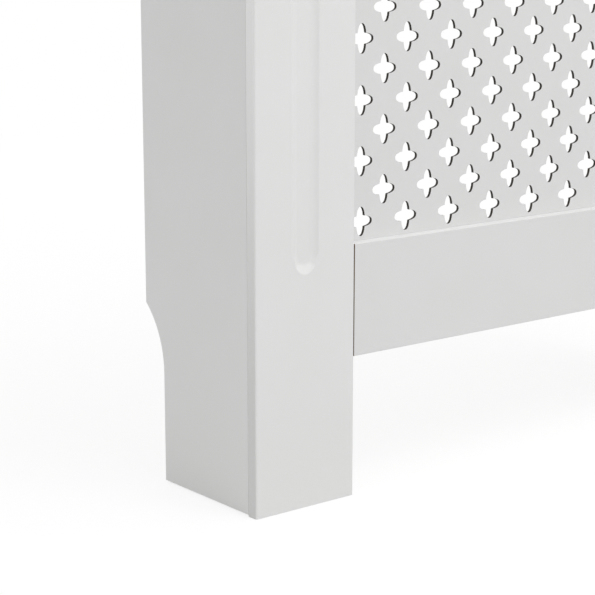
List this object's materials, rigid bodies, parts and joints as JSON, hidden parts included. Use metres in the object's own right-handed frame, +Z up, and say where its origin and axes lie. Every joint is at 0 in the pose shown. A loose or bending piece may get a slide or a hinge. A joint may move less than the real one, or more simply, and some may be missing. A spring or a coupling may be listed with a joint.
{
  "type": "radiator cover cabinet",
  "caption": "Wall-side cover cabinet for a radiator: posts and rails round a pierced sheet, two side panels notched for the skirting board, and a moulded top board.",
  "frame": {"origin": "on the floor, under the middle of the top board's length and depth", "axes": "+X to the right seen from the front, +Y towards the wall, +Z up; the front faces -Y"},
  "size_m": [0.78, 0.19, 0.815],
  "materials": {
    "painted_board": "white satin paint on fibreboard",
    "pierced_sheet": "white painted thin hardboard, hole walls left dark",
    "batten_timber": "planed softwood",
    "dowel_timber": "plain beech",
    "screw_steel": "zinc plated",
    "bracket_steel": "zinc plated sheet",
    "block_plastic": "moulded plastic"
  },
  "bodies": {
    "root": {"top_board": "painted_board", "left_side_panel": "painted_board", "right_side_panel": "painted_board", "left_post": "painted_board", "right_post": "painted_board", "top_rail": "painted_board", "bottom_rail": "painted_board", "grille_panel": "pierced_sheet", "left_corner_batten": "batten_timber", "right_corner_batten": "batten_timber", "left_rail_dowels": "dowel_timber", "right_rail_dowels": "dowel_timber", "grille_screws": "screw_steel", "left_batten_screws": "screw_steel", "right_batten_screws": "screw_steel", "top_block_screws": "screw_steel", "wall_bracket_screws": "screw_steel", "left_wall_bracket": "bracket_steel", "right_wall_bracket": "bracket_steel", "left_top_blocks": "block_plastic", "right_top_blocks": "block_plastic", "front_top_blocks": "block_plastic"}
  },
  "joints": []
}
